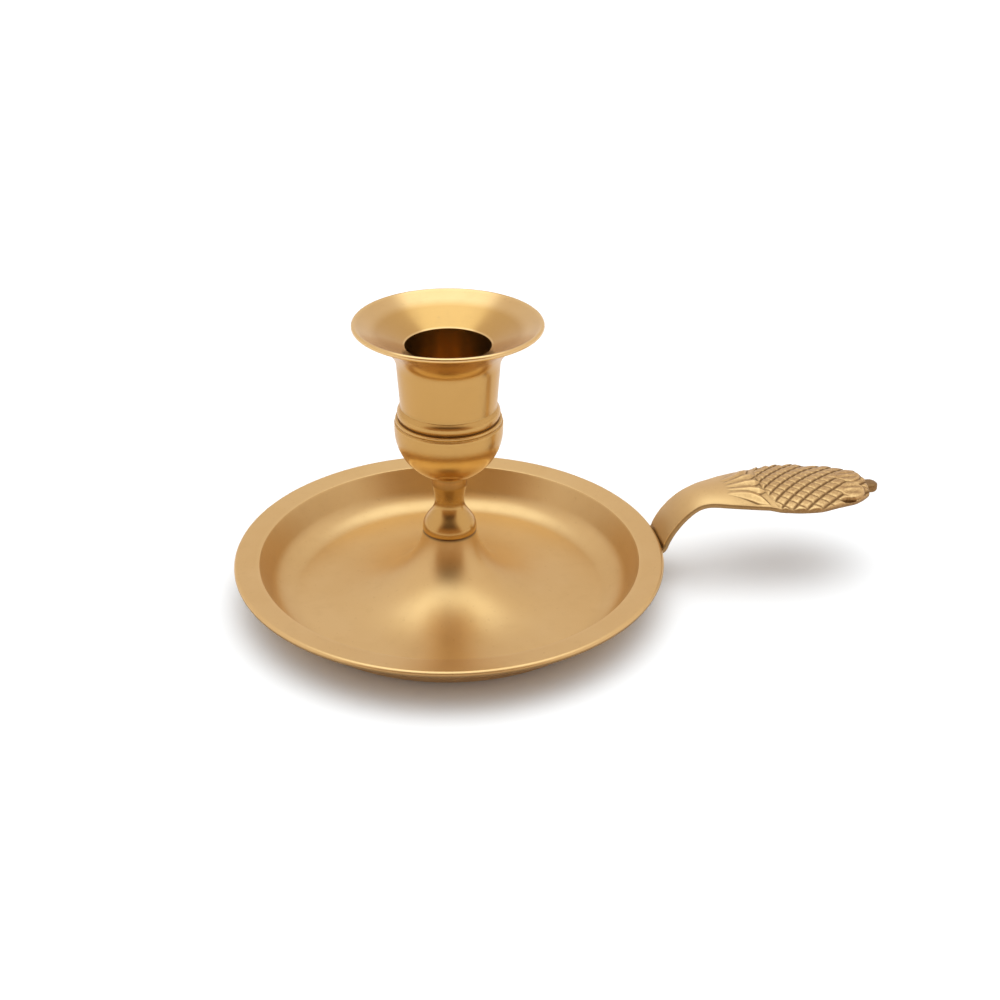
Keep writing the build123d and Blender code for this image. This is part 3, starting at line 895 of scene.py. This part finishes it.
def brass(name, finish, roughness, spread=0.0, lines=1.0, grain=0.0, patina_and_shade=0.8, notes=True, cast=False,
          amber=False):
    """Satin brass: two tones in slow clouds, faint spots of tarnish, turning or polishing lines from the
    brush attribute, one dark colour for patina in hollows and for painted shade where a piece marks it,
    and a lighter polish on worn edges. Spread draws highlights out, lines and grain scale the bump. Cast
    adds pits where the grain attribute is set, and amber mixes in its colour by the amber attribute.
    Without notes the piece has no attributes, and its lines follow Object coordinates."""
    material = bpy.data.materials.new(name)
    nodes = Nodes(material)
    place = nodes.add("ShaderNodeTexCoord", output="Object")
    if notes:
        brush = nodes.attribute("brush", "Vector")
        recess, wear = nodes.attribute("recess"), nodes.attribute("wear")
    else:
        brush, recess, wear = place * PLAIN_LINES, 0.0, 0.0
    cloud, mottle, spots = (nodes.noise(place, *kind) for kind in (CLOUD, MOTTLE, SPOTS))
    coarse, fine = (nodes.noise(brush, *kind) for kind in (COARSE_LINES, FINE_LINES))
    # Dark is patina in hollows together with painted shade
    dark = recess * patina_and_shade
    tarnish = spots.stepped(*SPOT_STEP) * SPOT_TARNISH + mottle.stepped(*MOTTLE_STEP) * MOTTLE_TARNISH
    if cast:
        pits = nodes.noise(place, *PITS).stepped(*PIT_STEP)
        tarnish = tarnish + nodes.attribute("grain") * (CAST_TARNISH + pits * PIT_TARNISH)
    colour = nodes.mixed(opaque(finish.tone), opaque(finish.deep_tone), cloud.stepped(*CLOUD_STEP))
    if amber:
        colour = nodes.mixed(colour, opaque(finish.amber), nodes.attribute("amber"))
    worn = wear * WORN_POLISH
    for other, share in ((finish.tarnish, tarnish), (finish.polish, worn), (finish.patina_and_shade, dark)):
        colour = nodes.mixed(colour, opaque(other), share)
    rough = (cloud - 0.5) * CLOUD_ROUGHNESS + (fine - 0.5) * (LINE_ROUGHNESS * lines)
    rough = rough + dark * DARK_ROUGHNESS - wear * WORN_ROUGHNESS + mottle * MOTTLE_ROUGHNESS + roughness
    height = (coarse * COARSE_BUMP + fine * FINE_BUMP) * lines
    height = height + mottle * (MOTTLE_BUMP * grain) + spots * (SPOT_BUMP * grain)
    normal = nodes.add("ShaderNodeBump", None, {"Strength": 1.0, "Distance": BUMP_METRES, "Height": height})
    shader = nodes.add("ShaderNodeBsdfPrincipled", None, {
        "Base Color": colour, "Metallic": 1.0, "Roughness": rough, "Normal": normal,
        "Anisotropic": spread, "Anisotropic Rotation": 0.25, "Coat Weight": 0.2, "Coat Roughness": 0.3})
    nodes.add("ShaderNodeOutputMaterial", None, {"Surface": shader})
    return material


def build(name, surface, material, node):
    """A piece from a surface, with its material, its body and the frame node it stands for."""
    piece = mesh_piece(name, surface)
    piece.data.materials.append(material)
    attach(piece, "root")
    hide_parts(node)


# Settings

def length(name, description, metres):
    return FloatProperty(name=name, description=description, default=metres, min=0, precision=5,
                         subtype="DISTANCE", unit="LENGTH")


def swatch(name, description, value):
    return FloatVectorProperty(name=name, description=description, default=value, min=0, max=1,
                               subtype="COLOR")


def light(name, description, strength):
    return FloatProperty(name=name, description=description, default=strength, min=0)


PAN_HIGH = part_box("drip_pan")[1]
CUP_LOW, CUP_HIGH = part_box("candle_cup")


class ChamberstickPan(bpy.types.PropertyGroup):
    """Sizes of the drip pan"""
    radius: length("Radius", "Radius of the rim", PAN_HIGH.x)
    rim_height: length("Rim height", "Height of the rim's edge above the table", 0.0126)
    rim_band: length("Rim band", "Width of the flat band round the well", 0.0068)
    seat_height: length("Seat height", "Height of the trumpet's top, where the cup stands", PAN_HIGH.z)
    segments: IntProperty(name="Segments", description="Faces round the pan", default=256, min=32)


class ChamberstickCup(bpy.types.PropertyGroup):
    """Sizes of the candle cup"""
    height: length("Height", "Height of the cup from its foot to its lip", CUP_HIGH.z - CUP_LOW.z)
    lip_radius: length("Lip radius", "Radius of the drip lip", CUP_HIGH.x)
    bore_radius: length("Bore radius", "Radius of the hole for the candle", 0.0112)
    bore_depth: length("Bore depth", "Depth of the hole for the candle", 0.022)
    segments: IntProperty(name="Segments", description="Faces round the cup", default=192, min=32)


class ChamberstickHandle(bpy.types.PropertyGroup):
    """Sizes of the thumb handle"""
    leaf_half_width: length("Leaf half-width", "Half the leaf's width at its widest", 0.0131)
    scale_length: length("Scale length", "Length of a scale near the sepals", 0.00356)
    scale_length_end: length("Scale length at the tip", "Length of a scale at the leaf's tip", 0.00636)
    scale_width: length("Scale width", "Width of a scale", 0.00371)
    scale_lift: length("Scale lift", "Height of a scale's point above the leaf", 0.0007)
    sepal_height: length("Sepal height", "Height of a sepal's keel above the leaf", 0.00095)
    leaf_rows: IntProperty(name="Leaf rows", description="Faces along the leaf", default=330, min=40)
    leaf_columns: IntProperty(name="Leaf columns", description="Points across the leaf", default=150, min=20)


class ChamberstickFinish(bpy.types.PropertyGroup):
    """Colours of the brass"""
    tone: swatch("Tone", "Clean satin brass", (0.738, 0.531, 0.249))
    deep_tone: swatch("Deep tone", "The slightly redder brass of the slow clouds", (0.708, 0.495, 0.218))
    amber: swatch("Amber", "The deeper brass of the cup's outside", (0.672, 0.415, 0.117))
    tarnish: swatch("Tarnish", "Faint spots", (0.48, 0.304, 0.132))
    polish: swatch("Polish", "Worn edges", (0.876, 0.657, 0.319))
    # The patina colour is also painted shade: on the rim's edge, the well's wall, the cup's outside, the
    # handle's sides, underside, grooves and pocket, and the stub
    patina_and_shade: swatch("Patina", "Hollows, seams and grooves", (0.156, 0.083, 0.025))


class ChamberstickStage(bpy.types.PropertyGroup):
    """The studio"""
    top_light: light("Top light", "Strength of the light panel overhead", 1.62)
    back_light: light("Back light", "Strength of the pale wall behind", 0.85)
    side_light: light("Side light", "Strength of the pale walls beside", 0.93)
    front_light: light("Front light", "Strength of the dim side behind the camera", 0.48)
    front_tint: swatch("Front tint", "Colour of the dim side behind the camera", (1.0, 0.556, 0.262))
    floor_light: light("Floor light", "Strength of the overhead light on the floor", 3.44)
    floor: swatch("Floor", "The pale floor", (0.87, 0.895, 0.91))
    light_tint: swatch("Light tint", "Colour of the walls that the brass mirrors", (1.0, 0.868, 0.79))
    mirrored_floor: swatch("Mirrored floor", "The floor as the brass mirrors it", (0.725, 0.647, 0.60))
    floor_glow: light("Floor glow", "What the floor adds for camera and mirror rays", 0.03)
    lens: FloatProperty(name="Lens", description="Focal length for a 36 mm wide sensor", default=53.499,
                        min=1, unit="CAMERA")


GROUPS = {
    "chamberstick_pan": ChamberstickPan,
    "chamberstick_cup": ChamberstickCup,
    "chamberstick_handle": ChamberstickHandle,
    "chamberstick_finish": ChamberstickFinish,
    "chamberstick_stage": ChamberstickStage,
}


# Operators

class CHAMBERSTICK_OT_drip_pan(bpy.types.Operator):
    """Builds the drip pan in turned satin brass"""
    bl_idname = "chamberstick.drip_pan"
    bl_label = "Drip pan"

    def execute(self, context):
        scene = context.scene
        surface = drip_pan_surface(scene.chamberstick_pan)
        material = brass("Satin pan brass", scene.chamberstick_finish, 0.33, spread=0.35)
        build("turned_drip_pan", surface, material, "drip_pan")
        return {"FINISHED"}


class CHAMBERSTICK_OT_candle_cup(bpy.types.Operator):
    """Builds the candle cup in brighter turned brass"""
    bl_idname = "chamberstick.candle_cup"
    bl_label = "Candle cup"

    def execute(self, context):
        scene = context.scene
        surface = candle_cup_surface(scene.chamberstick_pan, scene.chamberstick_cup)
        material = brass("Satin cup brass", scene.chamberstick_finish, 0.18, spread=0.3, amber=True)
        build("turned_candle_cup", surface, material, "candle_cup")
        return {"FINISHED"}


class CHAMBERSTICK_OT_thumb_handle(bpy.types.Operator):
    """Builds the thumb handle with its scaled leaf in cast brass"""
    bl_idname = "chamberstick.thumb_handle"
    bl_label = "Thumb handle"

    def execute(self, context):
        scene = context.scene
        surface = joined(strap_surface(scene.chamberstick_handle, scene.chamberstick_pan), stub_surface())
        material = brass("Cast handle brass", scene.chamberstick_finish, 0.38, lines=0.5, grain=1.0,
                         patina_and_shade=0.85, cast=True)
        build("scaled_thumb_handle", surface, material, "thumb_handle")
        return {"FINISHED"}


class CHAMBERSTICK_OT_fastenings(bpy.types.Operator):
    """Gives the frame's screw, washer and braze their finishes"""
    bl_idname = "chamberstick.fastenings"
    bl_label = "Screw, washer and braze"

    def execute(self, context):
        finish = context.scene.chamberstick_finish
        screw = brass("Bright screw brass", finish, 0.22, lines=0.6, notes=False)
        braze = brass("Dull braze alloy", finish, 0.42, lines=0.2, grain=2.0, notes=False)
        for node, material in (("cup_screw", screw), ("screw_washer", screw), ("handle_braze", braze)):
            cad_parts[node].material_slots[0].material = material
        return {"FINISHED"}


class CHAMBERSTICK_OT_stage(bpy.types.Operator):
    """Sets up the pale floor, the soft studio light and the camera"""
    bl_idname = "chamberstick.stage"
    bl_label = "Studio"

    def execute(self, context):
        stage = context.scene.chamberstick_stage
        self.floor(stage)
        self.world(context.scene, stage)
        self.camera(context.scene, stage)
        context.scene.view_settings.view_transform = "Standard"
        return {"FINISHED"}

    def floor(self, stage):
        """A flat square of 8 m just under the pan, which glows a little for camera and mirror rays. Mirror
        rays meet it in a colour of its own, in step with the lights that the brass mirrors."""
        mesh = bpy.data.meshes.new("pale_floor")
        low, half = -FLOOR_DROP * MM, FLOOR_HALF_METRES
        corners = [(-half, -half, low), (half, -half, low), (half, half, low), (-half, half, low)]
        mesh.from_pydata(corners, [], [(0, 1, 2, 3)])
        floor = bpy.data.objects.new("pale_floor", mesh)
        bpy.context.scene.collection.objects.link(floor)
        material = bpy.data.materials.new("Pale floor")
        nodes = Nodes(material)
        shade = nodes.mixed(opaque(stage.floor), opaque(stage.mirrored_floor), nodes.ray("Glossy"))
        matt = nodes.add("ShaderNodeBsdfDiffuse", None, {"Color": shade})
        seen = (nodes.ray("Camera") + nodes.ray("Glossy") + nodes.ray("Transmission")).stepped(0.0, 1.0)
        glow = nodes.add("ShaderNodeEmission", None, {"Strength": seen * stage.floor_glow})
        both = nodes.add("ShaderNodeAddShader", None, {0: matt, 1: glow})
        nodes.add("ShaderNodeOutputMaterial", None, {"Surface": both})
        mesh.materials.append(material)

    def world(self, scene, stage):
        """A soft studio: a light panel overhead, pale walls behind and beside, and a dim side behind the
        camera, dimmer still above. Rays from the camera meet plain white, and mirror rays meet the walls
        in their tints. The floor is lit from overhead, by the cube of a direction's height."""
        world = bpy.data.worlds.new("Soft studio")
        scene.world = world
        nodes = Nodes(world)
        way = nodes.add("ShaderNodeTexCoord", output="Generated")
        height = nodes.add("ShaderNodeSeparateXYZ", None, {0: way}, 2)
        turn = np.radians(CAMERA_TURN)
        ahead = nodes.add("ShaderNodeVectorMath", {"operation": "DOT_PRODUCT"},
                          {0: way, 1: (np.sin(turn), np.cos(turn), 0.0)}, 1)
        pale = ahead.stepped(*BACK_WALL) * (stage.back_light - stage.side_light) + stage.side_light
        dim = (1 - height.stepped(*FRONT_SHADE) * FRONT_SHADE_DEPTH) * stage.front_light
        side = ahead.stepped(*SIDE_WALLS)
        top = height.stepped(*LIGHT_PANEL)
        mirrored = (pale * side + dim * (1 - side)) * (1 - top) + top * stage.top_light
        camera_ray, diffuse_ray = nodes.ray("Camera"), nodes.ray("Diffuse")
        overhead = height ** OVERHEAD_POWER * diffuse_ray * stage.floor_light
        strength = (mirrored * (1 - diffuse_ray) + overhead) * (1 - camera_ray) + camera_ray
        walls = (1 - camera_ray) * (1 - diffuse_ray) * (1 - top)
        tint = nodes.mixed((1, 1, 1, 1), opaque(stage.light_tint), walls)
        tint = nodes.mixed(tint, opaque(stage.front_tint), walls * (1 - side))
        shader = nodes.add("ShaderNodeBackground", None, {"Color": tint, "Strength": strength})
        nodes.add("ShaderNodeOutputWorld", None, {"Surface": shader})

    def camera(self, scene, stage):
        """The camera at the photograph's angle: its place, turn, pitch and roll, with no shift."""
        data = bpy.data.cameras.new("Product camera")
        data.sensor_width = 36
        data.lens = stage.lens
        data.clip_start, data.clip_end = 0.01, 20
        camera = bpy.data.objects.new("Product camera", data)
        scene.collection.objects.link(camera)
        turned = Matrix.Rotation(-np.radians(CAMERA_TURN), 4, "Z")
        pitched = Matrix.Rotation(np.radians(90 - CAMERA_PITCH), 4, "X")
        rolled = Matrix.Rotation(np.radians(CAMERA_ROLL), 4, "Z")
        side, back, high = CAMERA_PLACE
        place = turned @ Vector((side, -back, high)) * MM
        camera.matrix_world = Matrix.Translation(place) @ turned @ pitched @ rolled
        scene.camera = camera


OPERATORS = (CHAMBERSTICK_OT_drip_pan, CHAMBERSTICK_OT_candle_cup, CHAMBERSTICK_OT_thumb_handle,
             CHAMBERSTICK_OT_fastenings, CHAMBERSTICK_OT_stage)


class CHAMBERSTICK_PT_panel(bpy.types.Panel):
    """Lists the settings and the pieces of the chamberstick"""
    bl_idname = "CHAMBERSTICK_PT_panel"
    bl_label = "Chamberstick"
    bl_space_type = "VIEW_3D"
    bl_region_type = "UI"
    bl_category = "Chamberstick"

    def draw(self, context):
        for group in GROUPS:
            box = self.layout.box()
            settings = getattr(context.scene, group)
            for name in settings.__annotations__:
                box.prop(settings, name)
        for operator in OPERATORS:
            self.layout.operator(operator.bl_idname)


def register():
    for kind in (*GROUPS.values(), *OPERATORS, CHAMBERSTICK_PT_panel):
        bpy.utils.register_class(kind)
    for name, group in GROUPS.items():
        setattr(bpy.types.Scene, name, PointerProperty(type=group))


def unregister():
    for name in GROUPS:
        delattr(bpy.types.Scene, name)
    for kind in reversed((*GROUPS.values(), *OPERATORS, CHAMBERSTICK_PT_panel)):
        bpy.utils.unregister_class(kind)


def main():
    register()
    for operator in OPERATORS:
        getattr(bpy.ops.chamberstick, operator.bl_idname.split(".")[1])()


if __name__ == "__main__":
    main()
